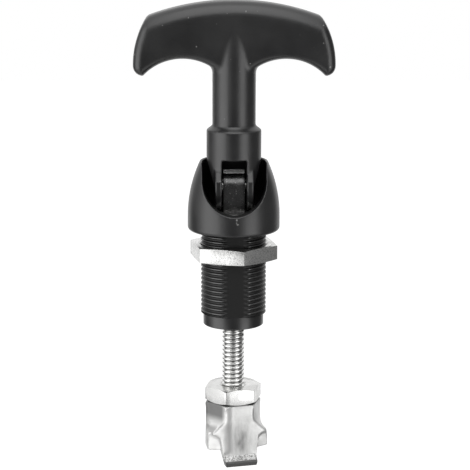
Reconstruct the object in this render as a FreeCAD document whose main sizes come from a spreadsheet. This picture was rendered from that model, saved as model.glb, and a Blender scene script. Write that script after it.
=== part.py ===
import FreeCAD, Part
import math
import os
import re
import PartDesign
import Sketcher

# T-handle compression latch, in millimetres.
# The origin is on the axis at the panel's face: the hood and handle stand above it
# in +Z, the barrel, rod and pawl hang below it, and the handle folds towards -Y.

SIZES = {
    # Handle, with heights counted up from the pivot pin
    "grip_width": 55.4,
    "grip_base": 30.9,
    "grip_base_depth": 9.2,
    "crown_overhang": 1.0,
    "grip_edge": 4.2,
    "grip_end_edge": 2.4,
    "corner_height": 16.2,
    "corner_inset": 4.0,
    "crown_radius": 68.0,
    "end_radius": 24.0,
    "tip_radius": 2.75,
    "arch_radius": 14.7,
    "arch_foot": 3.5,
    "arch_foot_rise": 0.15,
    "stem_diameter": 12.0,
    "stem_fillet": 3.0,
    "shoulder_height": 15.8,
    "shoulder_slope": 1.2,
    "fork_diameter": 15.2,
    "slot_height": 8.0,
    "cheek_width": 10.6,
    "cheek_taper": 8.0,
    # Cam on the cheeks: distance from the pin to the washer, raised, and its gain when folded
    "cam_low": 6.6,
    "cam_lift": 2.0,
    "cam_flat": 1.2,
    "cam_blend": 3.4,
    "cam_gap": 0.1,
    # Pivot
    "pin_diameter": 3.2,
    "pin_fit": 0.04,
    "pin_play": 0.05,
    "pin_inset": 0.2,
    "tang_width": 6.0,
    "tang_depth": 9.0,
    "tang_side_gap": 0.45,
    "slide_gap": 0.1,
    # Hood
    "hood_skirt": 1.75,
    "hood_top": 19.7,
    "hood_belly": 4.1,
    "hood_rim_wall": 0.6,
    "hood_fork_gap": 1.15,
    "hood_floor": 4.6,
    "hood_lift": 0.15,
    "hem_radius": 1.0,
    "mouth_radius": 8.8,
    "mouth_floor": 5.9,
    # Thrust washer
    "washer_thickness": 1.2,
    "washer_gap": 0.35,
    # Barrel
    "flange_rim": 1.85,
    "flange_thickness": 1.5,
    "neck_diameter": 14.0,
    "neck_height": 1.1,
    "well_diameter": 11.3,
    "well_depth": 1.6,
    "barrel_diameter": 18.3,
    "flat_depth": 0.8,
    "barrel_turn": 3.0,
    "thread_length": 23.4,
    "pilot_step": 0.7,
    "pilot_length": 3.5,
    "pilot_chamfer": 0.7,
    "chamber_share": 0.466,
    "chamber_top": 5.6,
    "turn_gap": 0.05,
    # Seal in the barrel's bearing
    "seal_section": 1.45,
    "seal_height": 3.55,
    "seal_groove": 1.7,
    "seal_groove_depth": 1.6,
    # Shaft
    "collar_diameter": 8.0,
    "collar_top": 1.3,
    "collar_length": 7.6,
    "rod_diameter": 6.35,
    "rod_end": 59.4,
    "rod_chamfer": 0.8,
    "ring_groove_diameter": 5.2,
    # Spring and what carries it
    "spring_gap": 0.6,
    "spring_wire": 1.1,
    "spring_turns": 5.0,
    "seat_gap": 0.5,
    "seat_thickness": 0.9,
    "ring_thickness": 0.8,
    "ring_diameter": 9.8,
    "ring_mouth": 3.6,
    "bush_length": 4.4,
    "bush_inset": 0.6,
    # Nuts
    "panel_nut_wall": 1.875,
    "panel_nut_thickness": 4.25,
    "panel_nut_top": 3.58,
    "panel_nut_turn": -18.3,
    "panel_nut_slope": 0.12,
    "jam_nut_flats": 14.2,
    "jam_nut_thickness": 4.4,
    "jam_nut_top": 44.83,
    "jam_nut_slope": 0.5,
    "nut_play": 0.03,
    "countersink": 0.7,
    # Pawl, in its own frame with the toe towards -Y, heights counted down from its top
    "pawl_turn": 14.0,
    "boss_height": 10.4,
    "ear_top": 8.0,
    "ear_bottom": 13.0,
    "ear_width": 17.5,
    "ear_front": 5.2,
    "ear_rear": 4.0,
    "ear_back": 3.6,
    "ear_back_width": 12.4,
    "ear_cheek": 5.8,
    "foot_front": 6.4,
    "brow_top": 4.6,
    "nose_face": 7.35,
    "nose_root": 4.0,
    "nose_waist": 11.4,
    "nose_waist_height": 9.3,
    "toe_width": 8.9,
    "toe_reach": 9.8,
    "ledge_top": 14.6,
    "ledge_bottom": 16.0,
    "ledge_root": 7.6,
    "toe_bottom": 17.3,
    "toe_undercut": 0.4,
    "toe_heel": 7.0,
    "nose_back": 2.0,
    "tap_depth": 11.6,
    # How far cuts run on past the surfaces that they open
    "through": 1.0,
}

doc = FreeCAD.newDocument("t_handle_latch")
sheet = doc.addObject("Spreadsheet::Sheet", "Sizes")
for row, (alias, size) in enumerate(SIZES.items(), start=1):
    sheet.set(f"A{row}", str(size))
    sheet.setAlias(f"A{row}", alias)
doc.recompute()

# Lengths that follow from the driving ones
WASHER_TOP = "(hood_floor + washer_thickness)"
PIN_HEIGHT = f"({WASHER_TOP} + cam_low + cam_gap)"
CAM_HIGH = "(cam_low + cam_lift)"
SLOT_WIDTH = "(tang_width + 2 * tang_side_gap)"
KEY_WIDTH = "(tang_width + 2 * slide_gap)"
KEY_DEPTH = "(tang_depth + 2 * slide_gap)"
NECK_TOP = "(flange_thickness + neck_height)"
BARREL_END = "(thread_length + pilot_length)"
CORNER_X = "(grip_width / 2 - corner_inset)"
CORNER_Z = "(grip_base + corner_height)"
CROWN_DEPTH = "(stem_diameter + 2 * crown_overhang)"
CROWN_Z = f"({CORNER_Z} + crown_radius - sqrt(crown_radius ^ 2 - {CORNER_X} ^ 2))"
MOUTH_CENTRE = "(mouth_floor + mouth_radius)"
FLANGE_RADIUS = "(barrel_diameter / 2 + flange_rim)"
HOOD_RADIUS = f"({FLANGE_RADIUS} + slide_gap + hood_skirt)"
HOOD_BORE = "(fork_diameter + 2 * hood_fork_gap)"
CHAMBER = "(collar_diameter + (barrel_diameter - collar_diameter) * chamber_share)"
SPRING_RADIUS = f"({CHAMBER} / 2 - spring_gap - spring_wire / 2)"
SEAT_LOW = f"({BARREL_END} - bush_inset - bush_length - slide_gap - ring_thickness)"
SEAT_TOP = f"({SEAT_LOW} - seat_thickness)"
PAWL_TOP = "(jam_nut_top + jam_nut_thickness)"
CAM_GAIN = "(2 * cam_lift / pi)"

# Points of a sketch's geometry, and its origin, as constraints name them
START, END, CENTRE = range(1, 4)
ORIGIN = (-1, 1)
UP = FreeCAD.Vector(0, 0, 1)


def in_full(word):
    return "Sizes." + word.group() if word.group() in SIZES else word.group()


def bound(formula):
    """The formula with each size's name given in full."""
    return re.sub(r"[a-z_]+", in_full, formula)


def value(formula):
    return float(sheet.evalExpression(formula))


def bind(item, path, formula):
    item.setExpression(path, bound(formula))


def new_body(label, height=None, turn=None):
    body = doc.addObject("PartDesign::Body", label)
    body.Label = label
    if height:
        bind(body, "Placement.Base.z", height)
    if turn:
        body.Placement.Rotation = FreeCAD.Rotation(FreeCAD.Vector(0, 0, 1), value(turn))
        bind(body, "Placement.Rotation.Angle", turn)
    return body


def new_sketch(body, name, plane):
    sketch = body.newObject("Sketcher::SketchObject", name)
    origin_plane = next(item for item in body.Origin.OriginFeatures if item.Role == plane)
    sketch.AttachmentSupport = [(origin_plane, "")]
    sketch.MapMode = "FlatFace"
    return sketch


def arc_between(start, end, radius):
    """An arc from start to end of an anticlockwise outline: a positive radius bulges outwards."""
    chord = end - start
    outward = FreeCAD.Vector(chord.y, -chord.x, 0) / chord.Length
    height = math.sqrt(max(radius**2 - (chord.Length / 2) ** 2, 0))
    centre = (start + end) / 2 - outward * math.copysign(height, radius)
    first, last = (start, end) if radius > 0 else (end, start)
    begin = math.atan2(first.y - centre.y, first.x - centre.x)
    finish = math.atan2(last.y - centre.y, last.x - centre.x)
    if finish < begin:
        finish += 2 * math.pi
    return Part.ArcOfCircle(Part.Circle(centre, UP, abs(radius)), begin, finish)


def hold(sketch, kind, *places, formula):
    """A constraint with its size bound to a formula."""
    number = sketch.addConstraint(Sketcher.Constraint(kind, *places, value(formula)))
    bind(sketch, f"Constraints[{number}]", formula)


def outline(sketch, corners):
    """A closed anticlockwise outline of corners (x, y) or (x, y, radius of the edge after it).

    A negative radius is that of a hollow edge.
    """
    points = [FreeCAD.Vector(value(corner[0]), value(corner[1]), 0) for corner in corners]
    first = sketch.GeometryCount
    ends = []
    for number, corner in enumerate(corners):
        start = points[number]
        end = points[(number + 1) % len(points)]
        if len(corner) == 2:
            sketch.addGeometry(Part.LineSegment(start, end), False)
            ends.append((START, END))
            continue
        radius = value(corner[2])
        sketch.addGeometry(arc_between(start, end, radius), False)
        ends.append((START, END) if radius > 0 else (END, START))
    for number, corner in enumerate(corners):
        after = (number + 1) % len(corners)
        here = (first + number, ends[number][0])
        there = (first + number, ends[number][1])
        sketch.addConstraint(Sketcher.Constraint("Coincident", *there, first + after, ends[after][0]))
        hold(sketch, "DistanceX", *ORIGIN, *here, formula=corner[0])
        hold(sketch, "DistanceY", *ORIGIN, *here, formula=corner[1])
        if len(corner) == 3:
            hold(sketch, "Radius", first + number, formula=corner[2].lstrip("-"))


def circle(sketch, x, y, diameter):
    middle = FreeCAD.Vector(value(x), value(y), 0)
    number = sketch.addGeometry(Part.Circle(middle, UP, value(diameter) / 2), False)
    hold(sketch, "DistanceX", *ORIGIN, number, CENTRE, formula=x)
    hold(sketch, "DistanceY", *ORIGIN, number, CENTRE, formula=y)
    hold(sketch, "Diameter", number, formula=diameter)


def drawn(body, name, plane, loops, circles, height=None):
    sketch = new_sketch(body, name + "_outline", plane)
    if height:
        bind(sketch, "AttachmentOffset.Base.z", height)
    for corners in loops:
        outline(sketch, corners)
    for place in circles:
        circle(sketch, *place)
    return sketch


def finished(feature, cuts):
    """The feature, once it is seen to add or to take away material."""
    doc.recompute()
    before = feature.BaseFeature.Shape.Volume if feature.BaseFeature else 0
    gained = feature.Shape.Volume - before
    if abs(gained) < 1e-6 or (gained < 0) != cuts:
        raise RuntimeError(f"{feature.Name} changes the volume by {gained:.4f}")
    return feature


def revolved(body, name, *loops, cuts=False):
    """A turned form, or a turned cut, from outlines of radius and height."""
    sketch = drawn(body, name, "XZ_Plane", loops, ())
    feature = body.newObject("PartDesign::Groove" if cuts else "PartDesign::Revolution", name)
    feature.Profile = sketch
    feature.ReferenceAxis = (sketch, ["V_Axis"])
    feature.Angle = 360
    return finished(feature, cuts)


def padded(body, name, plane, *loops, length, symmetric=True, downwards=False, circles=(), height=None):
    sketch = drawn(body, name, plane, loops, circles, height)
    feature = body.newObject("PartDesign::Pad", name)
    feature.Profile = sketch
    feature.SideType = "Symmetric" if symmetric else "One side"
    feature.Reversed = downwards
    bind(feature, "Length", length)
    return finished(feature, False)


def lofted(body, name, plane, lower, upper):
    """A form with flat sides between two outlines, each given with its height."""
    first = drawn(body, name + "_lower", plane, [lower[0]], (), lower[1])
    second = drawn(body, name + "_upper", plane, [upper[0]], (), upper[1])
    feature = body.newObject("PartDesign::AdditiveLoft", name)
    feature.Profile = first
    feature.Sections = [second]
    feature.Ruled = True
    return finished(feature, False)


def pocketed(body, name, plane, *loops, length=None, forwards=False, circles=()):
    """A cut right through both ways, or over a length behind the plane, or before it if forwards."""
    sketch = drawn(body, name, plane, loops, circles)
    feature = body.newObject("PartDesign::Pocket", name)
    feature.Profile = sketch
    if length:
        feature.Reversed = forwards
        bind(feature, "Length", length)
    else:
        feature.Type = "ThroughAll"
        feature.SideType = "Symmetric"
    return finished(feature, True)


def softened(body, name, size, chosen, kind="Fillet"):
    """A fillet or chamfer along the edges that the test picks."""
    base = body.Tip
    edges = [f"Edge{number}" for number, edge in enumerate(base.Shape.Edges, start=1) if chosen(edge)]
    if not edges:
        raise RuntimeError(f"{name} finds no edge")
    feature = body.newObject("PartDesign::" + kind, name)
    feature.Base = (base, edges)
    bind(feature, "Radius" if kind == "Fillet" else "Size", size)
    doc.recompute()
    return feature


def halfway(edge):
    return edge.valueAt((edge.FirstParameter + edge.LastParameter) / 2)


def rectangle(left, low, right, high):
    return [(left, low), (right, low), (right, high), (left, high)]


def hexagon(flats):
    corners = []
    for turn in range(0, 360, 60):
        x = f"{flats} / sqrt(3) * cos({turn} deg)"
        y = f"{flats} / sqrt(3) * sin({turn} deg)"
        corners.append((x, y))
    return corners


def cam_corner(degrees, radius=None):
    """The involute's point that bears on the washer when the handle is folded by so many degrees."""
    reach = f"(cam_low + cam_lift * {degrees} / 90)"
    across = f"-{reach} * sin({degrees} deg) - {CAM_GAIN} * cos({degrees} deg)"
    up = f"{CAM_GAIN} * sin({degrees} deg) - {reach} * cos({degrees} deg)"
    return (across, up, radius) if radius else (across, up)


def make_handle():
    """Grip bar, stem and slotted fork, with a cam on each cheek, in one moulding."""
    body = new_body("t_handle", height=PIN_HEIGHT)
    half = "grip_width / 2"
    foot = "(grip_base + arch_foot_rise)"
    padded(
        body,
        "grip",
        "XZ_Plane",
        [
            ("-arch_foot", foot),
            ("arch_foot", foot, "-arch_radius"),
            (f"{half} - tip_radius", "grip_base", "tip_radius"),
            (half, "grip_base + tip_radius", "end_radius"),
            (CORNER_X, CORNER_Z, "crown_radius"),
            (f"-{CORNER_X}", CORNER_Z, "end_radius"),
            (f"-{half}", "grip_base + tip_radius", "tip_radius"),
            (f"tip_radius - {half}", "grip_base", "-arch_radius"),
        ],
        length=f"2 * {CROWN_DEPTH}",
    )
    # The grip leans outwards from its tips to its crown, in front and behind
    base, crown, wide = "grip_base_depth / 2", f"{CROWN_DEPTH} / 2", f"(2 * {CROWN_DEPTH})"
    pocketed(
        body,
        "lean",
        "YZ_Plane",
        [
            (base, "grip_base"),
            (wide, "grip_base"),
            (wide, CROWN_Z),
            (crown, CROWN_Z),
        ],
        [
            (f"-{base}", "grip_base"),
            (f"-{crown}", CROWN_Z),
            (f"-{wide}", CROWN_Z),
            (f"-{wide}", "grip_base"),
        ],
    )
    corner, foot_x, depth = value(CORNER_Z), value("arch_foot"), value(base) / 2
    softened(body, "crown_edge", "grip_edge", lambda edge: on_crown(edge, corner, depth))
    softened(body, "end_edge", "grip_end_edge", lambda edge: on_grip_outline(edge, corner, foot_x, depth))
    fork, stem = "fork_diameter / 2", "stem_diameter / 2"
    revolved(
        body,
        "stem",
        [
            ("0", "0"),
            (fork, "0"),
            (fork, "shoulder_height"),
            (stem, "shoulder_height + shoulder_slope"),
            (stem, f"{CROWN_Z} - grip_edge"),
            ("0", f"{CROWN_Z} - grip_edge"),
        ],
    )
    waist, root = value("(shoulder_height + grip_base) / 2"), value(stem)
    softened(body, "stem_root", "stem_fillet", lambda edge: on_stem_root(edge, waist, root))
    # Each cheek is round about the pin behind, and an involute in front that gains lift evenly
    steps = (0, 30, 60, 90)
    involute = []
    for before, degrees in reversed(list(zip(steps, steps[1:]))):
        middle = (before + degrees) / 2
        involute.append(cam_corner(degrees, f"cam_low + cam_lift * {middle} / 90"))
    padded(
        body,
        "cheeks",
        "YZ_Plane",
        involute
        + [
            cam_corner(0),
            ("0", "-cam_low", "cam_low"),
            ("cam_low", "0", "cam_low"),
            ("cam_low * cos(45 deg)", "cam_low * sin(45 deg)"),
            (f"cam_blend - {CAM_HIGH}", f"{CAM_GAIN} + cam_flat + cam_blend"),
            (f"-{CAM_HIGH}", f"{CAM_GAIN} + cam_flat"),
        ],
        length="cheek_width",
    )
    cheek, outside, below = "cheek_width / 2", "(fork_diameter / 2 + through)", "-through"
    pocketed(
        body,
        "cheek_taper",
        "XZ_Plane",
        [(cheek, below), (outside, below), (outside, "cheek_taper"), (fork, "cheek_taper"), (cheek, "0")],
        [
            (f"-{cheek}", "0"),
            (f"-{fork}", "cheek_taper"),
            (f"-{outside}", "cheek_taper"),
            (f"-{outside}", below),
            (f"-{cheek}", below),
        ],
    )
    pocketed(
        body,
        "slot",
        "XZ_Plane",
        rectangle(f"-{SLOT_WIDTH} / 2", f"-{CAM_HIGH}", f"{SLOT_WIDTH} / 2", "slot_height"),
    )
    pocketed(body, "pin_hole", "YZ_Plane", circles=[("0", "0", "pin_diameter + pin_fit")])
    return body


def on_crown(edge, corner, depth):
    """Whether an edge runs along the grip's crown, in front or behind."""
    place = halfway(edge)
    return place.z > corner and abs(place.y) > depth


def on_grip_outline(edge, corner, foot, depth):
    """Whether an edge runs along the grip's ends, tips or arches, in front or behind."""
    place = halfway(edge)
    return place.z < corner and abs(place.x) > foot and abs(place.y) > depth


def on_stem_root(edge, low, radius):
    """Whether an edge is where the stem's side runs into the grip."""
    return halfway(edge).z > low and all(
        abs(math.hypot(corner.Point.x, corner.Point.y) - radius) < 1e-3 for corner in edge.Vertexes
    )


def make_pin():
    pin = doc.addObject("Part::Cylinder", "pivot_pin")
    pin.Label = "pivot_pin"
    bind(pin, "Radius", "pin_diameter / 2")
    bind(pin, "Height", "cheek_width - 2 * pin_inset")
    pin.Placement.Rotation = FreeCAD.Rotation(FreeCAD.Vector(0, 1, 0), 90)
    bind(pin, "Placement.Base.x", "pin_inset - cheek_width / 2")
    bind(pin, "Placement.Base.z", PIN_HEIGHT)
    return pin


def make_hood():
    """Bell-shaped hood with a mouth in front that the folded stem lies in, and a keyed floor."""
    body = new_body("hood")
    outer, recess, bore = HOOD_RADIUS, f"({FLANGE_RADIUS} + slide_gap)", f"{HOOD_BORE} / 2"
    seat = "(flange_thickness + turn_gap)"
    neck = "(neck_diameter / 2 + turn_gap)"
    over_neck = f"({NECK_TOP} + slide_gap)"
    # The bell leaves its belly upright and curves in to the rim
    rim = f"({bore} + hood_rim_wall)"
    inwards = f"({outer} - {rim})"
    curve = f"((hood_top - hood_belly) ^ 2 + {inwards} ^ 2) / (2 * {inwards})"
    revolved(
        body,
        "bell",
        [
            (recess, "hood_lift"),
            (f"{outer} - hem_radius", "hood_lift", "hem_radius"),
            (outer, "hood_lift + hem_radius"),
            (outer, "hood_belly", curve),
            (rim, "hood_top"),
            (bore, "hood_top"),
            (bore, "hood_floor"),
            ("0", "hood_floor"),
            ("0", over_neck),
            (neck, over_neck),
            (neck, seat),
            (recess, seat),
        ],
    )
    mouth = "mouth_radius"
    pocketed(
        body,
        "mouth",
        "XZ_Plane",
        [
            (f"-{mouth}", MOUTH_CENTRE, mouth),
            ("0", "mouth_floor", mouth),
            (mouth, MOUTH_CENTRE),
            (mouth, "hood_top + through"),
            (f"-{mouth}", "hood_top + through"),
        ],
        length=f"2 * {HOOD_RADIUS}",
        forwards=True,
    )
    pocketed(body, "key_slot", "XY_Plane", key_outline())
    return body


def key_outline():
    """The slot that the shaft's tang slides in and turns the hood by."""
    return rectangle(f"-{KEY_WIDTH} / 2", f"-{KEY_DEPTH} / 2", f"{KEY_WIDTH} / 2", f"{KEY_DEPTH} / 2")


def make_washer():
    body = new_body("thrust_washer", height="hood_floor")
    padded(
        body,
        "disc",
        "XY_Plane",
        key_outline(),
        length="washer_thickness",
        symmetric=False,
        circles=[("0", "0", f"{HOOD_BORE} - 2 * washer_gap")],
    )
    return body


def make_barrel():
    """Turned barrel with flange and neck, a bearing with its seal groove, spring chamber and pilot."""
    body = new_body("barrel", turn="barrel_turn")
    outer, pilot = "barrel_diameter / 2", "(barrel_diameter / 2 - pilot_step)"
    chamber, well = f"{CHAMBER} / 2", "well_diameter / 2"
    bearing = "(collar_diameter / 2 + turn_gap)"
    groove = f"({bearing} + seal_groove_depth)"
    revolved(
        body,
        "turning",
        [
            (chamber, f"-{BARREL_END}"),
            (pilot, f"-{BARREL_END}"),
            (pilot, "-thread_length - pilot_chamfer"),
            (outer, "-thread_length"),
            (outer, "0"),
            (FLANGE_RADIUS, "0"),
            (FLANGE_RADIUS, "flange_thickness"),
            ("neck_diameter / 2", "flange_thickness"),
            ("neck_diameter / 2", NECK_TOP),
            (well, NECK_TOP),
            (well, "-well_depth"),
            (bearing, "-well_depth"),
            (bearing, "seal_groove / 2 - seal_height"),
            (groove, "seal_groove / 2 - seal_height"),
            (groove, "-seal_groove / 2 - seal_height"),
            (bearing, "-seal_groove / 2 - seal_height"),
            (bearing, "-chamber_top"),
            (chamber, "-chamber_top"),
        ],
    )
    flat = "(barrel_diameter / 2 - flat_depth)"
    pocketed(
        body,
        "flats",
        "XY_Plane",
        rectangle("-barrel_diameter", flat, "barrel_diameter", "barrel_diameter"),
        rectangle("-barrel_diameter", "-barrel_diameter", "barrel_diameter", f"-{flat}"),
        length="thread_length + pilot_chamfer",
    )
    return body


def make_seal():
    seal = doc.addObject("Part::Torus", "shaft_seal")
    seal.Label = "shaft_seal"
    bind(seal, "Radius1", "collar_diameter / 2 + turn_gap + seal_section / 2")
    bind(seal, "Radius2", "seal_section / 2")
    bind(seal, "Placement.Base.z", "-seal_height")
    return seal


def make_shaft():
    """Rod with its collar and ring groove below, and the flat tang with the pivot's eye above."""
    body = new_body("shaft")
    rod, collar, groove = "rod_diameter / 2", "collar_diameter / 2", "ring_groove_diameter / 2"
    revolved(
        body,
        "rod",
        [
            ("0", "-rod_end"),
            (f"{rod} - rod_chamfer", "-rod_end"),
            (rod, "rod_chamfer - rod_end"),
            (rod, f"-{SEAT_LOW} - ring_thickness - slide_gap"),
            (groove, f"-{SEAT_LOW} - ring_thickness - slide_gap"),
            (groove, f"-{SEAT_LOW}"),
            (rod, f"-{SEAT_LOW}"),
            (rod, "-collar_top - collar_length"),
            (collar, "-collar_top - collar_length"),
            (collar, "-collar_top"),
            ("0", "-collar_top"),
        ],
    )
    half = "tang_depth / 2"
    padded(
        body,
        "tang",
        "YZ_Plane",
        [
            (f"-{half}", "-collar_top"),
            (half, "-collar_top"),
            (half, PIN_HEIGHT, half),
            ("0", f"{PIN_HEIGHT} + {half}", half),
            (f"-{half}", PIN_HEIGHT),
        ],
        length="tang_width",
    )
    pocketed(body, "eye", "YZ_Plane", circles=[("0", PIN_HEIGHT, "pin_diameter + 2 * pin_play")])
    return body


def ring(label, outer, inner, thickness, low):
    """A plain ring: its outer and inner diameters, its thickness and the height of its underside."""
    disc = doc.addObject("Part::Cylinder", label + "_disc")
    hole = doc.addObject("Part::Cylinder", label + "_hole")
    for cylinder, diameter, spare in ((disc, outer, "0"), (hole, inner, "through")):
        bind(cylinder, "Radius", f"({diameter}) / 2")
        bind(cylinder, "Height", f"{thickness} + 2 * {spare}")
        bind(cylinder, "Placement.Base.z", f"{low} - {spare}")
    cut = doc.addObject("Part::Cut", label)
    cut.Base = disc
    cut.Tool = hole
    cut.Label = label
    return cut


def make_spring_seat():
    return ring(
        "spring_seat",
        f"{CHAMBER} - 2 * seat_gap",
        "rod_diameter + 2 * turn_gap",
        "seat_thickness",
        f"-{SEAT_LOW}",
    )


def make_retaining_ring():
    """An E-ring: a ring in the shaft's groove with a mouth at one side."""
    low = f"(-{SEAT_LOW} - ring_thickness)"
    hole = "ring_groove_diameter + 2 * turn_gap"
    whole = ring("ring_blank", "ring_diameter", hole, "ring_thickness", low)
    mouth = doc.addObject("Part::Box", "ring_mouth")
    bind(mouth, "Length", "ring_diameter")
    bind(mouth, "Width", "ring_mouth")
    bind(mouth, "Height", "ring_thickness + 2 * through")
    bind(mouth, "Placement.Base.y", "-ring_mouth / 2")
    bind(mouth, "Placement.Base.z", f"{low} - through")
    cut = doc.addObject("Part::Cut", "retaining_ring")
    cut.Base = whole
    cut.Tool = mouth
    cut.Label = "retaining_ring"
    return cut


def make_bush():
    return ring(
        "guide_bush",
        f"{CHAMBER} - 2 * turn_gap",
        "rod_diameter + 2 * slide_gap",
        "bush_length",
        f"(bush_inset - {BARREL_END})",
    )


def make_spring():
    """Round wire wound between the chamber's top and the spring seat."""
    low = f"(spring_wire / 2 + turn_gap - {SEAT_TOP})"
    rise = f"({SEAT_TOP} - chamber_top - spring_wire - 2 * turn_gap)"
    path = doc.addObject("Part::Helix", "spring_path")
    bind(path, "Radius", SPRING_RADIUS)
    bind(path, "Height", rise)
    bind(path, "Pitch", f"{rise} / spring_turns")
    bind(path, "Placement.Base.z", low)
    wire = doc.addObject("Part::Circle", "spring_section")
    bind(wire, "Radius", "spring_wire / 2")
    wire.Placement.Rotation = FreeCAD.Rotation(FreeCAD.Vector(1, 0, 0), 90)
    bind(wire, "Placement.Base.x", SPRING_RADIUS)
    bind(wire, "Placement.Base.z", low)
    spring = doc.addObject("Part::Sweep", "return_spring")
    spring.Label = "return_spring"
    spring.Sections = [wire]
    spring.Spine = (path, ["Edge1"])
    spring.Solid = True
    spring.Frenet = True
    return spring


def make_nut(label, flats, thickness, bore, top, turn, slope):
    """Hexagon nut, both faces chamfered and its hole countersunk, with its origin on its upper face."""
    body = new_body(label, height=f"-({top})", turn=turn)
    padded(body, "hexagon", "XY_Plane", hexagon(flats), length=thickness, symmetric=False, downwards=True)
    beyond, drop = f"({flats} * 3 / 4)", f"({flats} / 4 * {slope})"
    revolved(
        body,
        "chamfers",
        [(f"{flats} / 2", "0"), (beyond, f"-{drop}"), (beyond, "0")],
        [(f"{flats} / 2", f"-{thickness}"), (beyond, f"-{thickness}"), (beyond, f"{drop} - {thickness}")],
        cuts=True,
    )
    hole = f"({bore}) / 2"
    revolved(
        body,
        "hole",
        [
            ("0", f"-{thickness}"),
            (f"{hole} + countersink", f"-{thickness}"),
            (hole, f"countersink - {thickness}"),
            (hole, "-countersink"),
            (f"{hole} + countersink", "0"),
            ("0", "0"),
        ],
        cuts=True,
    )
    return body


def make_pawl():
    """Cast pawl: hexagonal boss, an ear at each side, and a nose that ends in a ledged toe."""
    body = new_body("pawl", height=f"-{PAWL_TOP}", turn="pawl_turn")
    boss, facet, corner = "jam_nut_flats / 2", "(jam_nut_flats / 2 / sqrt(3))", "(jam_nut_flats / sqrt(3))"
    ear, waist, toe = "ear_width / 2", "nose_waist / 2", "toe_width / 2"
    across, beyond = "jam_nut_flats", "(jam_nut_flats * 3 / 4)"
    padded(body, "boss", "XY_Plane", hexagon(across), length="boss_height", symmetric=False, downwards=True)
    revolved(
        body,
        "boss_chamfer",
        [(boss, "0"), (beyond, f"({boss} - {beyond}) * jam_nut_slope"), (beyond, "0")],
        cuts=True,
    )
    # The boss's two front facets flare into the nose's full width, and the nose steps in below
    facets = [(corner, "0"), (f"-{corner}", "0"), (f"-{facet}", f"-{boss}"), (facet, f"-{boss}")]
    brow = [(corner, "0"), (f"-{corner}", "0"), (f"-{corner}", "-nose_face"), (corner, "-nose_face")]
    lofted(body, "brow", "XY_Plane", (brow, "-ear_top"), (facets, "-brow_top"))
    padded(
        body,
        "nose",
        "YZ_Plane",
        [
            ("-nose_face", "-ear_top"),
            ("-ledge_root", "-ledge_top"),
            ("-toe_reach", "-ledge_bottom"),
            ("toe_undercut - toe_reach", "-toe_bottom"),
            ("-toe_heel", "-toe_bottom"),
            ("-nose_root", "-ear_bottom"),
            ("nose_back", "-ear_bottom"),
            ("nose_back", "-ear_top"),
        ],
        length=f"2 * {corner}",
    )
    beside = "ear_width"
    pocketed(
        body,
        "nose_taper",
        "XZ_Plane",
        [
            (toe, "-toe_bottom"),
            (beside, "-toe_bottom"),
            (beside, "-ear_top"),
            (corner, "-ear_top"),
            (waist, "-nose_waist_height"),
        ],
        [
            (f"-{toe}", "-toe_bottom"),
            (f"-{waist}", "-nose_waist_height"),
            (f"-{corner}", "-ear_top"),
            (f"-{beside}", "-ear_top"),
            (f"-{beside}", "-toe_bottom"),
        ],
    )
    padded(
        body,
        "ears",
        "XY_Plane",
        [
            ("-ear_back_width / 2", "ear_back"),
            (f"-{corner}", "0"),
            (f"-{ear}", "-ear_rear"),
            (f"-{ear}", "-ear_front"),
            ("-ear_cheek", "-foot_front"),
            ("ear_cheek", "-foot_front"),
            (ear, "-ear_front"),
            (ear, "-ear_rear"),
            (corner, "0"),
            ("ear_back_width / 2", "ear_back"),
        ],
        length="ear_bottom - ear_top",
        symmetric=False,
        downwards=True,
        height="-ear_top",
    )
    hole = "(rod_diameter / 2 + nut_play)"
    revolved(
        body,
        "tapped_hole",
        [
            ("0", "-tap_depth"),
            (hole, "-tap_depth"),
            (hole, "-countersink"),
            (f"{hole} + countersink", "0"),
            ("0", "0"),
        ],
        cuts=True,
    )
    return body


def check_and_write(nodes):
    for item in doc.Objects:
        if "Invalid" in item.State or "Error" in item.State:
            raise RuntimeError(f"{item.Name} is {item.State}")
    os.makedirs("parts", exist_ok=True)
    for node in nodes:
        shape = node.Shape
        if shape.isNull() or not shape.isValid():
            raise RuntimeError(f"{node.Label} has no valid shape")
        shape.exportStep(f"parts/{node.Label}.step")
        print(f"{node.Label:15s} {len(shape.Solids)} solid, {shape.Volume:8.1f} mm3")


nodes = [
    make_handle(),
    make_pin(),
    make_hood(),
    make_washer(),
    make_barrel(),
    make_seal(),
    make_shaft(),
    make_spring(),
    make_spring_seat(),
    make_retaining_ring(),
    make_bush(),
    make_nut(
        "panel_nut",
        "(barrel_diameter + 2 * panel_nut_wall)",
        "panel_nut_thickness",
        "barrel_diameter + 2 * nut_play",
        "panel_nut_top",
        "panel_nut_turn",
        "panel_nut_slope",
    ),
    make_nut(
        "jam_nut",
        "jam_nut_flats",
        "jam_nut_thickness",
        "rod_diameter + 2 * nut_play",
        "jam_nut_top",
        "pawl_turn",
        "jam_nut_slope",
    ),
    make_pawl(),
]
doc.recompute()
check_and_write(nodes)
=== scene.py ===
import math

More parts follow.
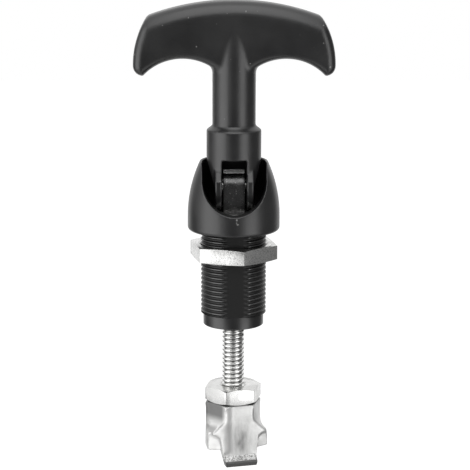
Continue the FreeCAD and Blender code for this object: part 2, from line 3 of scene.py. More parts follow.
import bmesh
import bpy
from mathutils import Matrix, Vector


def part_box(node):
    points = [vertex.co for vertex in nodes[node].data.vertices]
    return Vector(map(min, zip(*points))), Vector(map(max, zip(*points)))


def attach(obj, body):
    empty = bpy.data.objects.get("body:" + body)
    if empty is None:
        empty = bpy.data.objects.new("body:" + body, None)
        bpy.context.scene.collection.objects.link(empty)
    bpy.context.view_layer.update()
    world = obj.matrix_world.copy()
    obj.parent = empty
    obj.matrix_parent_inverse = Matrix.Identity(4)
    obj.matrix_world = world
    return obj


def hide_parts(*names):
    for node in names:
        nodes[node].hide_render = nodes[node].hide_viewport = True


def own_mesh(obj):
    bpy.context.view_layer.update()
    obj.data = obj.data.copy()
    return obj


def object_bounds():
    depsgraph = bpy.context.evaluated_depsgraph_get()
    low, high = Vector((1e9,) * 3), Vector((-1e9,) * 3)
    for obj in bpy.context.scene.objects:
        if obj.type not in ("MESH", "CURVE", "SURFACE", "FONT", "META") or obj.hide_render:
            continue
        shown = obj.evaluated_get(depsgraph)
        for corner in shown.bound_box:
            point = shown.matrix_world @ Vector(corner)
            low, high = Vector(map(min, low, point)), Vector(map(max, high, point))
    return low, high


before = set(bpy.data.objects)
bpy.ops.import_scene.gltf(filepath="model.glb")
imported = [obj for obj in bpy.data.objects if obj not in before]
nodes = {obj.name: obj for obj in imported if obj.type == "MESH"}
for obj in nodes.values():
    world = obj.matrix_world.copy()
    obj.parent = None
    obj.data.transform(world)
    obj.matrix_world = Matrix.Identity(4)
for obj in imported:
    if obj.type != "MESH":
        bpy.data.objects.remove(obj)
cad_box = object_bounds()
scene = bpy.context.scene
MM = 0.001

# Lengths are in millimetres and angles in degrees, unless a comment says otherwise

# Threads: pitch, depth, and the shares of the pitch that are root and crest
BARREL_THREAD = (1.27, 0.52, 0.26, 0.14)
ROD_THREAD = (1.27, 0.62, 0.06, 0.22)

# The barrel's thread: its diameter, top and lower end, and its flats in front and behind
BARREL_DIAMETER, BARREL_TOP, BARREL_THREAD_END = 18.3, 0.0, -23.4
BARREL_FLATS, BARREL_TURN = 16.7, 3.0

# The rod's thread: its diameter, upper end and tapered tip
ROD_DIAMETER, ROD_TOP, ROD_TAPER = 6.35, -27.2, 0.8

# The radii between which a thread's look runs from that of its roots to that of its crests, with painted
# shade darkening the roots
BARREL_SHADE_AND_GLOSS, ROD_SHADE_AND_GLOSS = (8.925, 9.1), (2.56, 2.76)

# The barrel without its thread: radius and height round its section
BARREL_CORE_OUTLINE = (
    (6.4, -26.9),
    (8.3, -26.9),
    (8.45, -26.75),
    (8.45, -24.0),
    (8.3, -23.5),
    (8.3, 0.0),
    (10.9, 0.0),
    (11.0, 0.1),
    (11.0, 1.5),
    (7.0, 1.5),
    (7.0, 2.6),
    (5.65, 2.6),
    (5.65, -1.6),
    (4.05, -1.6),
    (4.05, -2.7),
    (5.65, -2.7),
    (5.65, -4.4),
    (4.05, -4.4),
    (4.05, -5.6),
    (6.4, -5.6),
)

# How many points go round the threads and the turned core, and how many steps make up a pitch
BARREL_COLUMNS, ROD_COLUMNS, CORE_COLUMNS, PITCH_STEPS = 180, 96, 128, 12

# The size of the voxels that even out a moulding or casting, the rounds that soften its edges, and
# how far one round takes a point towards the middle of its neighbours
HANDLE_VOXEL, HANDLE_ROUNDS = 0.30, 3
HOOD_VOXEL, HOOD_ROUNDS = 0.25, 2
PAWL_VOXEL, PAWL_ROUNDS, PAWL_UPPER_ROUNDS = 0.16, 5, 140
SOFTENING = 0.5

# The pawl's upper part, cast without edges: where it starts, where it is full, and the top of its boss
UPPER_START, UPPER_FULL, BOSS_TOP, BOSS_FADE = -60.2, -57.8, -50.4, 0.8

# Bevels on the machined pieces: their widths, the least angle that gets one, its segments, and
# what counts as flat
TANG_BEVEL, PANEL_NUT_BEVEL, JAM_NUT_BEVEL, PIN_BEVEL, WASHER_BEVEL = 0.15, 0.15, 0.12, 0.1, 0.15
BEVEL_ANGLE, BEVEL_SEGMENTS, FLAT_ANGLE = 35, 3, 1

# The angles above which edges are kept sharp
SHARP_TURNED, SHARP_MACHINED, SHARP_THREAD, SHARP_WIRE = 35, 40, 50, 50

# How near points have to be to be welded and how short an edge to be dropped, in metres
WELD, LEAST_EDGE = 1e-7, 1e-8

# The least sine that a flat's distance is divided by
LEAST_SINE = 1e-6

# The upper edge of the washer and the width of the painted highlight along it, and the strip along the top
# of the shaft's eye that is painted bright as a highlight
WASHER_EDGE, WASHER_HIGHLIGHT_WIDTH = 5.68, 0.1
EYE_HIGHLIGHT_LOW, EYE_HIGHLIGHT_HIGH, EYE_HIGHLIGHT_FADE = 16.30, 16.95, 0.08

# How far the pawl's front is turned to its right
PAWL_TURN = 14.0

# The pawl's darker patches, each from where it starts to where it is full: painted shade on the boss's left
# facet and the end of the toe, the rough ledge, and painted shade in a line under the nut
SHADED_FACET_LEFT, SHADED_FACET_UP = (-1.9, -3.4), (-57.0, -52.5)
SHADED_TOE_END, LEDGE, NUT_SHADE = (-64.75, -64.95), (-63.4, -63.8), (-49.73, -49.43)

# The middle of the painted shade on the pawl's nose, and how far it reaches each way
SHADED_NOSE_MIDDLE, SHADED_NOSE_REACH = (2.2, -7.0, -60.0), (3.4, 8.0, 6.5)

# Where the pawl shades as if it leaned, each from where it starts to where it is full: the nose's
# left side above the ledge, the right ear and the left shoulder
NOSE_LEFT, NOSE_UP = (-2.0, -5.4), (-63.6, -62.4)
EAR_RIGHT, EAR_DOWN = (5.4, 6.0), (-58.4, -58.9)
SHOULDER_LEFT, SHOULDER_DOWN = (-2.0, -4.0), (-53.2, -55.0)

# How far they lean, as shares of the surface normal: to the right, and forwards and down
NOSE_LEAN, EAR_LEAN, SHOULDER_LEAN = -0.8, -0.3, 0.35

# How squarely the pawl's front faces look to the front, and its flanks from one end to the other
FRONT_FACING, FLANK_START, FLANK_END = (0.72, 0.92), (0.12, 0.3), (0.9, 0.7)

# The camera, in front and a little above, aimed close to the axis
CAMERA_DISTANCE, CAMERA_LENS, CAMERA_SENSOR = 490.0, 134.04, 36.0
CAMERA_PITCH, CAMERA_SIDE, CAMERA_ROLL = 12.0, -1.5, 0.2
CAMERA_AIM = (0.39, 0.0, -1.57)
CAMERA_NEAR, CAMERA_FAR = 10.0, 20000.0

# The floor: how far it lies under the part, its width and how brightly it glows
FLOOR_DROP, FLOOR_SIZE, FLOOR_LIGHT = 260.0, 6000.0, 0.88

# How bright the studio looks in the part's gloss, round it in degrees from the front: the backdrop
# is 1, the floor is pale under the soft boxes and behind, and the rest is dim
DIM = 0.19
WALL_GLOW = (
    (-180, 1),
    (-150, 1),
    (-128, 0.35),
    (-112, 0.35),
    (-104, 0.9),
    (-60, 0.9),
    (-28, DIM),
    (128, DIM),
    (142, 1),
    (180, 1),
)
FLOOR_GLOW = (
    (-180, 1),
    (-150, 1),
    (-128, DIM),
    (-106, DIM),
    (-96, 1),
    (-26, 1),
    (-15, DIM),
    (16, DIM),
    (28, 1),
    (62, 1),
    (72, DIM),
    (128, DIM),
    (142, 1),
    (180, 1),
)

# The ceiling, pale all round: the sines of the angles up where it starts and is full, and its colour
CEILING, CEILING_GLOW = (0.42, 0.60), (0.95, 0.95, 0.95)

# The light that the room gives the part from all round
WHITE, ROOM_LIGHT = (1, 1, 1), 0.4

# Soft boxes: degrees to the side of the front and up, width and height in metres, and radiance
SOFT_BOXES = {
    "left_box": (-60, 4, 0.52, 0.70, 1.4),
    "right_box": (43, 4, 0.34, 0.70, 1.4),
    "top_box": (0, 62, 0.5, 0.72, 1.3),
}
BOX_DISTANCE = 600.0

# Base colours
BLACK, SATIN_BLACK, DUST = (0.008, 0.008, 0.0085), (0.014, 0.014, 0.014), (0.22, 0.22, 0.215)
# The black thread's roots are painted darker as shade
SHADED_ROOT_BLACK, CREST_BLACK = (0.003, 0.003, 0.003), (0.012, 0.012, 0.012)
ZINC, TARNISH = (0.78, 0.78, 0.77), (0.195, 0.195, 0.1925)
# The plated thread's roots are painted darker as shade
SHADED_ROOT_ZINC, CREST_ZINC = (0.16, 0.16, 0.16), (0.82, 0.82, 0.81)
# The pale colour is a painted highlight on the top of the shaft's eye
BLACKENED, EYE_HIGHLIGHT_COLOUR = (0.11, 0.11, 0.11), (0.9, 0.9, 0.89)
# The pale colour is a painted highlight along the washer's upper edge
WASHER_BLACK, WASHER_HIGHLIGHT = (0.08, 0.08, 0.08), (0.62, 0.62, 0.61)
# The casting's dark colour serves both its uneven skin and the painted shade on the pawl
CAST_ZINC, CAST_DARK_AND_SHADE = (0.80, 0.80, 0.79), (0.07, 0.07, 0.069)
WIRE_DARK, WIRE_PALE = (0.42, 0.42, 0.41), (0.62, 0.62, 0.6)
RUBBER_DARK, RUBBER_PALE = (0.010, 0.010, 0.010), (0.022, 0.022, 0.022)


class Graph:
    """Short calls for the nodes of a material or of the world."""

    def __init__(self, tree):
        self.tree = tree

    def put(self, value, socket):
        """A socket takes another node's output or a fixed value."""
        if isinstance(value, bpy.types.NodeSocket):
            self.tree.links.new(value, socket)
        elif socket.type == "RGBA":
            socket.default_value = (*value, 1)
        else:
            socket.default_value = value

    def add(self, kind, inputs=None, **settings):
        """A new node with its settings, and with its inputs given by name or number."""
        node = self.tree.nodes.new(kind)
        for name, value in settings.items():
            setattr(node, name, value)
        for key, value in (inputs or {}).items():
            self.put(value, node.inputs[key])
        return node

    def math(self, operation, *values):
        """Values joined one after another by an operation."""
        total = values[0]
        for value in values[1:]:
            node = self.add("ShaderNodeMath", {0: total, 1: value}, operation=operation)
            total = node.outputs["Value"]
        return total

    def vector(self, operation, *vectors, output="Vector"):
        inputs = dict(enumerate(vectors))
        return self.add("ShaderNodeVectorMath", inputs, operation=operation).outputs[output]

    def ramp(self, value, ends, start=0.0, end=1.0):
        """A value mapped from between the two ends to start..end."""
        inputs = {"Value": value, "From Min": ends[0], "From Max": ends[1], "To Min": start, "To Max": end}
        return self.add("ShaderNodeMapRange", inputs).outputs["Result"]

    def span(self, length, ends, start=0.0, end=1.0):
        """A length mapped from between the two ends, in millimetres, to start..end."""
        return self.ramp(length, (ends[0] * MM, ends[1] * MM), start, end)

    def parts(self, vector):
        return self.add("ShaderNodeSeparateXYZ", {"Vector": vector}).outputs

    def blend(self, share, first, second):
        """A colour that runs from the first to the second as share goes from 0 to 1."""
        mix = self.add("ShaderNodeMix", {"Factor": share, "A": first, "B": second}, data_type="RGBA")
        return mix.outputs["Result"]

    def mixed(self, share, first, second):
        """The first shader at share 0 and the second at share 1."""
        return self.add("ShaderNodeMixShader", {"Fac": share, 1: first, 2: second}).outputs["Shader"]

    def parted(self, seen, unseen, output):
        """Camera, glossy and transmission rays see the first shader, all other light the second."""
        path = self.add("ShaderNodeLightPath").outputs
        rays = (path["Is Camera Ray"], path["Is Glossy Ray"], path["Is Transmission Ray"])
        self.put(self.mixed(self.math("MAXIMUM", *rays), unseen, seen), output)

    def glow_round(self, place, glow):
        """A brightness round the part, from stops of (degrees from the front, brightness)."""
        sides = self.parts(place)
        angle = self.math("ARCTAN2", sides["X"], self.math("MULTIPLY", sides["Y"], -1.0))
        ramp = self.add("ShaderNodeValToRGB", {"Fac": self.ramp(angle, (-math.pi, math.pi))})
        stops = ramp.color_ramp.elements
        while len(stops) < len(glow):
            stops.new(0.5)
        for stop, (degrees, brightness) in zip(stops, glow):
            stop.position = degrees / 360 + 0.5
            stop.color = (brightness, brightness, brightness, 1)
        return ramp.outputs["Color"]


class Shader(Graph):
    """A Principled material with short calls for its look."""

    def __init__(self, name, color, roughness, metallic=0.0, ior=1.5, gloss=0.5):
        self.material = bpy.data.materials.new(name)
        self.material.use_nodes = True
        super().__init__(self.material.node_tree)
        self.surface = self.tree.nodes["Principled BSDF"]
        self.look("Base Color", color)
        self.look("Roughness", roughness)
        self.look("Metallic", metallic)
        self.look("IOR", ior)
        self.look("Specular IOR Level", gloss)
        coordinates = self.add("ShaderNodeTexCoord").outputs
        self.place, self.own_normal = coordinates["Object"], coordinates["Normal"]
        self.normal = None

    def look(self, name, value):
        self.put(value, self.surface.inputs[name])

    def colour(self, share, first, second):
        """The base colour runs from the first to the second colour as share goes from 0 to 1."""
        self.look("Base Color", self.blend(share, first, second))

    def noise(self, scale, detail=3.0, stretch=(1, 1, 1), roughness=0.5):
        """A noise value over the object's own coordinates, its grain about 1/scale metres."""
        place = self.add("ShaderNodeMapping", {"Vector": self.place, "Scale": stretch}).outputs["Vector"]
        inputs = {"Vector": place, "Scale": scale, "Detail": detail, "Roughness": roughness}
        return self.add("ShaderNodeTexNoise", inputs).outputs["Fac"]

    def radius(self):
        """How far a point is from the object's own Z axis, in metres."""
        return self.vector("LENGTH", self.vector("MULTIPLY", self.place, (1, 1, 0)), output="Value")

    def bump(self, height, distance, strength):
        """Fine relief on the surface, over the way it leans."""
        inputs = {"Height": height, "Distance": distance, "Strength": strength}
        if self.normal:
            inputs["Normal"] = self.normal
        self.normal = self.add("ShaderNodeBump", inputs).outputs["Normal"]
        self.look("Normal", self.normal)

    def lean(self, share, way):
        """The surface shades as if it leaned, by a share of a way in the object's coordinates."""
        scaled = self.add("ShaderNodeVectorMath", {0: way, "Scale": share}, operation="SCALE")
        self.own_normal = self.vector("ADD", self.own_normal, scaled.outputs["Vector"])
        in_world = self.add(
            "ShaderNodeVectorTransform",
            {"Vector": self.own_normal},
            vector_type="NORMAL",
            convert_from="OBJECT",
            convert_to="WORLD",
        )
        self.normal = in_world.outputs["Vector"]


def black_plastic(name, roughness, dust=0.0):
    """Black moulded plastic: a fine satin grain, slow changes of gloss and a few specks of dust."""
    shader = Shader(name, (0.010, 0.010, 0.0105), roughness, ior=1.55, gloss=0.63)
    slow = shader.noise(90, 4)
    shader.look("Roughness", shader.ramp(slow, (0.3, 0.7), roughness - 0.04, roughness + 0.06))
    shader.bump(shader.noise(5200, 2), 0.00002, 0.35)
    share = shader.ramp(slow, (0.35, 0.75), 0.0, 0.04 if dust else 0.35)
    if dust:
        specks = shader.ramp(shader.noise(900, 1, roughness=0.2), (dust, dust + 0.03))
        share = shader.math("MAXIMUM", share, specks)
    shader.colour(share, BLACK, DUST if dust else SATIN_BLACK)
    return shader.material


def black_thread(name, shade_and_gloss):
    """Black thread, dull and darkened by painted shade in its roots and glossy on its crests, between two
    radii.
    """
    shader = Shader(name, BLACK, 0.3, ior=1.6, gloss=0.7)
    outwards = shader.span(shader.radius(), shade_and_gloss)
    shader.look("Roughness", shader.ramp(outwards, (0.0, 1.0), 0.5, 0.2))
    shader.look("Specular IOR Level", shader.ramp(outwards, (0.0, 1.0), 0.35, 0.85))
    shader.colour(outwards, SHADED_ROOT_BLACK, CREST_BLACK)
    shader.bump(shader.noise(1600), 0.00003, 0.3)
    return shader.material


def zinc_plate(name, specks=0.0):
    """Bright plated steel with a slightly uneven lustre and, on a coarser part, dark specks."""
    shader = Shader(name, ZINC, 0.22, metallic=1.0)
    slow = shader.noise(260, 5)
    share = shader.ramp(slow, (0.35, 0.65), 0.2, 0.0)
    if specks:
        grit = shader.ramp(shader.noise(2300, 2, roughness=0.6), (0.50, 0.64), 0.0, specks)
        share = shader.math("MAXIMUM", share, grit)
    shader.colour(share, ZINC, TARNISH)
    shader.look("Roughness", shader.ramp(slow, (0.3, 0.7), 0.30, 0.17))
    shader.bump(shader.noise(1500), 0.00003 + 0.00005 * specks, 0.3)
    return shader.material


def plated_thread(name, shade_and_gloss):
    """Plated thread, darkened by painted shade in its roots and bright on its crests, between two radii."""
    shader = Shader(name, (0.8, 0.8, 0.79), 0.2, metallic=1.0)
    outwards = shader.span(shader.radius(), shade_and_gloss)
    shader.colour(outwards, SHADED_ROOT_ZINC, CREST_ZINC)
    shader.look("Roughness", shader.ramp(outwards, (0.0, 1.0), 0.4, 0.15))
    shader.bump(shader.noise(1400), 0.00004, 0.3)
    return shader.material


def dark_steel(name):
    """Blackened steel, smooth, with a painted highlight along the top of the eye, and fine specks where it
    rubs.
    """
    shader = Shader(name, BLACKENED, 0.26, metallic=1.0)
    height = shader.parts(shader.place)["Z"]
    rubbed = shader.ramp(shader.noise(2100, 2, roughness=0.6), (0.66, 0.70), 0.0, 0.5)
    # The strip along the top of the eye is painted bright as a highlight, without the metal look
    eye_highlight = shader.math(
        "MULTIPLY",
        shader.span(height, (EYE_HIGHLIGHT_LOW, EYE_HIGHLIGHT_LOW + EYE_HIGHLIGHT_FADE)),
        shader.span(height, (EYE_HIGHLIGHT_HIGH, EYE_HIGHLIGHT_HIGH - EYE_HIGHLIGHT_FADE)),
    )
    shader.colour(shader.math("MAXIMUM", rubbed, eye_highlight), BLACKENED, EYE_HIGHLIGHT_COLOUR)
    shader.look("Metallic", shader.ramp(eye_highlight, (0.0, 1.0), 1.0, 0.0))
    shader.look("Roughness", shader.ramp(shader.noise(500), (0.3, 0.7), 0.2, 0.36))
    shader.bump(shader.noise(1700), 0.00004, 0.4)
    return shader.material


def cast_skin_and_shade(shader, side, height):
    """How dark the casting is: a little all over from its uneven skin, much more where shade is painted on
    the left facet, the toe's end, the nose's middle and under the nut, and grit on the rough ledge.
    """
    skin = shader.ramp(shader.noise(170, 5), (0.35, 0.62), 0.35, 0.05)
    # Painted shade: on the boss's left facet, the end of the toe, the middle of the nose and in a line under
    # the nut
    facet_shade = shader.math("MULTIPLY", shader.span(side, SHADED_FACET_LEFT), shader.span(height, SHADED_FACET_UP, 0.0, 0.8))
    toe_shade = shader.span(height, SHADED_TOE_END, 0.0, 0.97)
    from_middle = shader.vector("SUBTRACT", shader.place, Vector(SHADED_NOSE_MIDDLE) * MM)
    reached = shader.vector("DIVIDE", from_middle, Vector(SHADED_NOSE_REACH) * MM)
    size = shader.vector("LENGTH", reached, output="Value")
    streaks = shader.ramp(shader.noise(900, stretch=(1, 1, 0.3)), (0.3, 0.7), 0.6, 1.2)
    nose_shade = shader.math("MULTIPLY", shader.ramp(size, (0.1, 1.3), 0.75, 0.0), streaks)
    rough = shader.ramp(shader.noise(2300, 2, roughness=0.6), (0.51, 0.55), 0.0, 0.75)
    grit = shader.math("MULTIPLY", rough, shader.span(height, LEDGE))
    nut_shade = shader.span(height, NUT_SHADE, 0.0, 0.92)
    return shader.math("MAXIMUM", skin, facet_shade, toe_shade, nose_shade, grit, nut_shade)


def cast_forms(shader, height):
    """The pawl's soft forms: its nose and left ear round off to the left, its right ear leans inwards.

    Its left shoulder comes round to meet the nose.
    """
    turn = math.radians(PAWL_TURN)
    front, right = (math.sin(turn), -math.cos(turn), 0), (math.cos(turn), math.sin(turn), 0)
    facing = shader.vector("DOT_PRODUCT", shader.own_normal, front, output="Value")
    across = shader.vector("DOT_PRODUCT", shader.place, right, output="Value")
    in_front = shader.ramp(facing, FRONT_FACING)
    nose = shader.math(
        "MULTIPLY",
        in_front,
        shader.span(across, NOSE_LEFT, 0.0, NOSE_LEAN),
        shader.span(height, NOSE_UP),
    )
    shoulder = shader.math(
        "MULTIPLY",
        shader.ramp(facing, FLANK_START),
        shader.ramp(facing, FLANK_END),
        shader.span(height, SHOULDER_DOWN),
        shader.span(across, SHOULDER_LEFT),
    )
    ear = shader.math(
        "MULTIPLY",
        in_front,
        shader.span(across, EAR_RIGHT, 0.0, EAR_LEAN),
        shader.span(height, EAR_DOWN),
    )
    shader.lean(nose, right)
    shader.lean(shoulder, (SHOULDER_LEAN * front[0], SHOULDER_LEAN * front[1], -SHOULDER_LEAN))
    shader.lean(ear, right)


def cast_zinc(name):
    """Bright zinc casting: a soft skin with small pits, an uneven darker tone, and dark patches of painted
    shade.
    """
    shader = Shader(name, ZINC, 0.34, metallic=0.6)
    parts = shader.parts(shader.place)
    shader.colour(cast_skin_and_shade(shader, parts["X"], parts["Z"]), CAST_ZINC, CAST_DARK_AND_SHADE)
    shader.look("Roughness", shader.ramp(shader.noise(420), (0.3, 0.7), 0.42, 0.32))
    cast_forms(shader, parts["Z"])
    shader.bump(shader.noise(750, 4), 0.00012, 0.35)
    shader.bump(shader.noise(2600, 2), 0.00004, 0.3)
    return shader.material


def drawn_wire(name):
    shader = Shader(name, (0.55, 0.55, 0.54), 0.3, metallic=1.0)
    along = shader.noise(500, stretch=(1, 1, 4))
    shader.colour(shader.ramp(along, (0.3, 0.7)), WIRE_DARK, WIRE_PALE)
    shader.bump(shader.noise(2400, 2), 0.00002, 0.3)
    return shader.material


def rimmed_steel(name, edge):
    """Blackened steel with a painted highlight along its upper edge, at a height."""
    shader = Shader(name, (0.16, 0.16, 0.16), 0.3, metallic=1.0)
    # The band along the upper edge is painted bright as a highlight, broken up by noise
    edge_highlight = shader.span(shader.parts(shader.place)["Z"], (edge - WASHER_HIGHLIGHT_WIDTH, edge))
    broken = shader.ramp(shader.noise(1500, 2), (0.35, 0.55), 0.4, 1.0)
    shader.colour(shader.math("MULTIPLY", edge_highlight, broken), WASHER_BLACK, WASHER_HIGHLIGHT)
    shader.bump(shader.noise(1700), 0.00004, 0.4)
    return shader.material


def seal_rubber(name):
    shader = Shader(name, (0.015, 0.015, 0.015), 0.7)
    shader.colour(shader.noise(300, 4), RUBBER_DARK, RUBBER_PALE)
    shader.bump(shader.noise(3000, 2), 0.00003, 0.4)
    return shader.material


def clad(thing, material):
    """A piece or CAD node takes a material in place of its own."""
    thing.data.materials.clear()
    thing.data.materials.append(material)


def dress(piece, material, node, body):
    """The piece takes its material, stands for its CAD node and rides on its body."""
    clad(piece, material)
    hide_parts(node)
    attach(piece, body)


def new_piece(name, mesh):
    piece = bpy.data.objects.new(name, mesh)
    scene.collection.objects.link(piece)
    return piece


def copied(name, node):
    """A piece with the shape of a CAD node."""
    return new_piece(name, nodes[node].data.copy())


def shaded(mesh, degrees=None):
    """Smooth shading, with the edges sharper than the angle kept sharp."""
    for face in mesh.polygons:
        face.use_smooth = True
    if degrees:
        mesh.set_sharp_from_angle(angle=math.radians(degrees))


def formed(name, form, degrees):
    """A piece from a finished form, with the edges sharper than the angle kept sharp."""
    bmesh.ops.recalc_face_normals(form, faces=form.faces)
    mesh = bpy.data.meshes.new(name)
    form.to_mesh(mesh)
    form.free()
    shaded(mesh, degrees)
    return new_piece(name, mesh)


def modified(piece, kind, **settings):
    modifier = piece.modifiers.new(kind.lower(), kind)
    for name, value in settings.items():
        setattr(modifier, name, value)


def applied(piece):
    """The piece's mesh with its modifiers worked into it."""
    graph = bpy.context.evaluated_depsgraph_get()
    mesh = bpy.data.meshes.new_from_object(piece.evaluated_get(graph))
    piece.modifiers.clear()
    piece.data = mesh
    return mesh


def moulded(name, node, voxel, rounds, upper=0):
    """A CAD node's shape with its edges softened as a casting's are.

    With upper, the part between UPPER_START and BOSS_TOP is softened by that many rounds more.
    """
    piece = copied(name, node)
    modified(piece, "REMESH", mode="VOXEL", voxel_size=voxel * MM)
    modified(piece, "SMOOTH", factor=SOFTENING, iterations=rounds)
    mesh = applied(piece)
    if upper:
        group = piece.vertex_groups.new(name="upper")
        for vertex in mesh.vertices:
            height = vertex.co.z / MM
            from_below = (height - UPPER_START) / (UPPER_FULL - UPPER_START)
            share = min(from_below, (BOSS_TOP - height) / BOSS_FADE, 1.0)
            if share > 0:
                group.add([vertex.index], share, "REPLACE")
        modified(piece, "SMOOTH", factor=SOFTENING, iterations=upper, vertex_group="upper")
        mesh = applied(piece)
    low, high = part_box(node)
    for vertex in mesh.vertices:
        for axis in range(3):
            vertex.co[axis] = min(max(vertex.co[axis], low[axis]), high[axis])
    shaded(mesh)
    return piece


def machined(name, node, edge):
    """A CAD node's shape with a small bevel along its sharp edges."""
    piece = copied(name, node)
    modified(piece, "WELD", merge_threshold=WELD)
    modified(piece, "DECIMATE", decimate_type="DISSOLVE", angle_limit=math.radians(FLAT_ANGLE))
    modified(piece, "BEVEL", width=edge * MM, segments=BEVEL_SEGMENTS, angle_limit=math.radians(BEVEL_ANGLE))
    shaded(applied(piece), SHARP_MACHINED)
    return piece


def kept_above(piece, height):
    """Cuts a piece off below a height and closes the cut."""
    form = bmesh.new()
    form.from_mesh(piece.data)
    bmesh.ops.remove_doubles(form, verts=form.verts, dist=WELD)
    cut = bmesh.ops.bisect_plane(
        form,
        geom=form.verts[:] + form.edges[:] + form.faces[:],
        plane_co=(0, 0, height * MM),
        plane_no=(0, 0, 1),
        clear_inner=True,
    )
    edges = [item for item in cut["geom_cut"] if isinstance(item, bmesh.types.BMEdge)]
    bmesh.ops.holes_fill(form, edges=edges)
    form.to_mesh(piece.data)
    form.free()


def on_round(form, radius, angle, height):
    """A new point of a form at a radius, an angle in radians and a height."""
    return form.verts.new((radius * math.cos(angle) * MM, radius * math.sin(angle) * MM, height * MM))


def thread_depth(phase, depth, root, crest):
    """How far below its crest a thread is at a share of its pitch."""
    flank = (abs(phase - 0.5) * 2 - root) / (1 - root - crest)
    flank = min(max(flank, 0.0), 1.0)
    return depth * (1 - flank * flank * (3 - 2 * flank))


def threaded(name, diameter, thread, low, high, columns, flats=None, turn=0.0, taper=0.0):
    """A cylinder with a right-hand thread (pitch, depth, root, crest), its rows running along the thread.

    With flats, two sides in front and behind are cut flat. The lower end is tapered over the given length.
    """
    pitch, depth, root, crest = thread
    form = bmesh.new()
    rows = int(math.ceil((high - low) / pitch + 2)) * PITCH_STEPS
    start = low - pitch

    def vertex(row, column):
        angle = 2 * math.pi * column / columns
        height = start + pitch * (row / PITCH_STEPS + column / columns)
        radius = diameter / 2 - thread_depth((row / PITCH_STEPS) % 1.0, depth, root, crest)
        if flats:
            sine = abs(math.sin(angle - math.radians(turn)))
            radius = min(radius, flats / 2 / max(sine, LEAST_SINE))
        height = min(max(height, low), high)
        if taper:
            radius = min(radius, diameter / 2 - taper + (height - low))
        return on_round(form, radius, angle, height)

    grid = [[vertex(row, column) for column in range(columns + 1)] for row in range(rows + 1)]
    for below, above in zip(grid, grid[1:]):
        for column in range(columns):
            form.faces.new((below[column], below[column + 1], above[column + 1], above[column]))
    bmesh.ops.remove_doubles(form, verts=form.verts, dist=WELD)
    bmesh.ops.dissolve_degenerate(form, edges=form.edges, dist=LEAST_EDGE)
    bmesh.ops.holes_fill(form, edges=[edge for edge in form.edges if edge.is_boundary])
    return formed(name, form, SHARP_THREAD)


def turned(name, outline):
    """A closed turned form from an outline of (radius, height)."""
    form = bmesh.new()
    angles = [2 * math.pi * column / CORE_COLUMNS for column in range(CORE_COLUMNS)]
    rings = [[on_round(form, radius, angle, height) for angle in angles] for radius, height in outline]
    for ring, after in zip(rings, rings[1:] + rings[:1]):
        for column in range(CORE_COLUMNS):
            beside = (column + 1) % CORE_COLUMNS
            form.faces.new((ring[column], ring[beside], after[beside], after[column]))
    return formed(name, form, SHARP_TURNED)


plastic = black_plastic("black_satin", 0.33, dust=0.80)
barrel_black = black_plastic("barrel_black", 0.30)
thread_black = black_thread("thread_black", BARREL_SHADE_AND_GLOSS)
tang_black = dark_steel("tang_black")
washer_steel = rimmed_steel("washer_steel", WASHER_EDGE)
plate = zinc_plate("zinc_plate")
nut_plate = zinc_plate("nut_plate", specks=0.5)
rod_plate = plated_thread("rod_plate", ROD_SHADE_AND_GLOSS)
casting = cast_zinc("zinc_casting")
wire = drawn_wire("drawn_wire")
rubber = seal_rubber("seal_rubber")

handle = moulded("t_handle_moulding", "t_handle", HANDLE_VOXEL, HANDLE_ROUNDS)
dress(handle, plastic, "t_handle", "handle_body")

hood = moulded("hood_moulding", "hood", HOOD_VOXEL, HOOD_ROUNDS)
dress(hood, plastic, "hood", "hood_body")

# The barrel: its inside and its plain lengths are turned, and its thread is a sleeve on the core
sleeve = threaded(
    "barrel_thread",
    BARREL_DIAMETER,
    BARREL_THREAD,
    BARREL_THREAD_END,
    BARREL_TOP,
    BARREL_COLUMNS,
    flats=BARREL_FLATS,
    turn=BARREL_TURN,
)
dress(sleeve, thread_black, "barrel", "barrel_body")
core = turned("barrel_core", BARREL_CORE_OUTLINE)
dress(core, barrel_black, "barrel", "barrel_body")

# The shaft: the tang and collar as they are, and the rod with its thread
tang = machined("shaft_tang", "shaft", TANG_BEVEL)
dress(tang, tang_black, "shaft", "shaft_body")
rod_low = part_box("shaft")[0].z / MM
rod = threaded("rod_thread", ROD_DIAMETER, ROD_THREAD, rod_low, ROD_TOP, ROD_COLUMNS, taper=ROD_TAPER)
dress(rod, rod_plate, "shaft", "shaft_body")
kept_above(tang, ROD_TOP)

# The machined pieces, each with its node, the width of its bevels, its material and its body
for name, node, edge, material, body in (
    ("panel_nut_plated", "panel_nut", PANEL_NUT_BEVEL, nut_plate, "barrel_body"),
    ("jam_nut_plated", "jam_nut", JAM_NUT_BEVEL, plate, "shaft_body"),
    ("pivot_pin_steel", "pivot_pin", PIN_BEVEL, plate, "handle_body"),
    ("thrust_washer_black", "thrust_washer", WASHER_BEVEL, washer_steel, "hood_body"),
):
    dress(machined(name, node, edge), material, node, body)

pawl = moulded("pawl_casting", "pawl", PAWL_VOXEL, PAWL_ROUNDS, upper=PAWL_UPPER_ROUNDS)
dress(pawl, casting, "pawl", "shaft_body")

spring = copied("return_spring_wire", "return_spring")
shaded(spring.data, SHARP_WIRE)
dress(spring, wire, "return_spring", "barrel_body")
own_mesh(spring)

# The hidden pieces keep the shape of their CAD nodes
for node, material in (
    ("shaft_seal", rubber),
    ("spring_seat", plate),
    ("retaining_ring", wire),
    ("guide_bush", black_plastic("bush_black", 0.5)),
):
    clad(nodes[node], material)


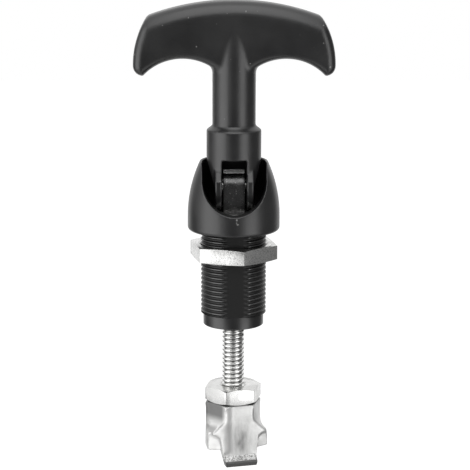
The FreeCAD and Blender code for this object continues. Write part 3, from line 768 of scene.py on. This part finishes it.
def make_world():
    world = bpy.data.worlds.new("studio")
    scene.world = world
    world.use_nodes = True
    graph = Graph(world.node_tree)
    place = graph.add("ShaderNodeTexCoord").outputs["Generated"]
    ceiling = graph.ramp(graph.parts(place)["Z"], CEILING)
    room = graph.blend(ceiling, graph.glow_round(place, WALL_GLOW), CEILING_GLOW)
    on_camera = graph.add("ShaderNodeLightPath").outputs["Is Camera Ray"]
    seen = graph.tree.nodes["Background"]
    graph.put(graph.blend(on_camera, room, WHITE), seen.inputs["Color"])
    light = graph.add("ShaderNodeBackground", {"Color": WHITE, "Strength": ROOM_LIGHT})
    surface = graph.tree.nodes["World Output"].inputs["Surface"]
    graph.parted(seen.outputs["Background"], light.outputs["Background"], surface)


def make_floor():
    """A pale floor that keeps the shadow, with a brightness of its own in the part's gloss."""
    bottom = cad_box[0].z - FLOOR_DROP * MM
    bpy.ops.mesh.primitive_plane_add(size=FLOOR_SIZE * MM, location=(0, 0, bottom))
    floor = bpy.context.object
    floor.name = "floor"
    shader = Shader("pale_floor", (0.5, 0.5, 0.5), 0.9)
    own = shader.surface.outputs["BSDF"]
    glow = shader.add("ShaderNodeEmission", {"Strength": FLOOR_LIGHT}).outputs["Emission"]
    lit = shader.add("ShaderNodeAddShader", {0: own, 1: glow}).outputs["Shader"]
    round_part = shader.glow_round(shader.place, FLOOR_GLOW)
    gloss = shader.add("ShaderNodeEmission", {"Color": round_part}).outputs["Emission"]
    on_gloss = shader.add("ShaderNodeLightPath").outputs["Is Glossy Ray"]
    from_above = shader.mixed(on_gloss, lit, gloss)
    # From below the floor doesn't hide the part
    from_below = shader.add("ShaderNodeBsdfTransparent").outputs["BSDF"]
    below = shader.add("ShaderNodeNewGeometry").outputs["Backfacing"]
    surface = shader.tree.nodes["Material Output"].inputs["Surface"]
    shader.parted(shader.mixed(below, from_above, from_below), own, surface)
    floor.data.materials.append(shader.material)


def aimed(thing, place, target):
    thing.location = place
    thing.rotation_euler = (Vector(target) - Vector(place)).to_track_quat("-Z", "Y").to_euler()


def towards(side, up):
    """The direction at an angle to the side of the front and an angle up, seen from the part."""
    side, up = math.radians(side), math.radians(up)
    return Vector((math.sin(side) * math.cos(up), -math.cos(side) * math.cos(up), math.sin(up)))


def soft_box(name, side, up, width, height, radiance):
    light = bpy.data.lights.new(name, "AREA")
    light.shape = "RECTANGLE"
    light.size = width
    light.size_y = height
    light.energy = radiance * math.pi * width * height
    lamp = bpy.data.objects.new(name, light)
    scene.collection.objects.link(lamp)
    aimed(lamp, towards(side, up) * BOX_DISTANCE * MM, (0, 0, 0))


def make_camera():
    data = bpy.data.cameras.new("camera")
    data.sensor_width = CAMERA_SENSOR
    data.lens = CAMERA_LENS
    data.clip_start = CAMERA_NEAR * MM
    data.clip_end = CAMERA_FAR * MM
    camera = bpy.data.objects.new("camera", data)
    scene.collection.objects.link(camera)
    aim = Vector(CAMERA_AIM) * MM
    back = towards(CAMERA_SIDE, CAMERA_PITCH)
    aimed(camera, aim + back * CAMERA_DISTANCE * MM, aim)
    camera.rotation_euler.rotate_axis("Z", math.radians(CAMERA_ROLL))
    scene.camera = camera


make_world()
make_floor()
for name, measures in SOFT_BOXES.items():
    soft_box(name, *measures)
make_camera()
scene.view_settings.view_transform = "Standard"
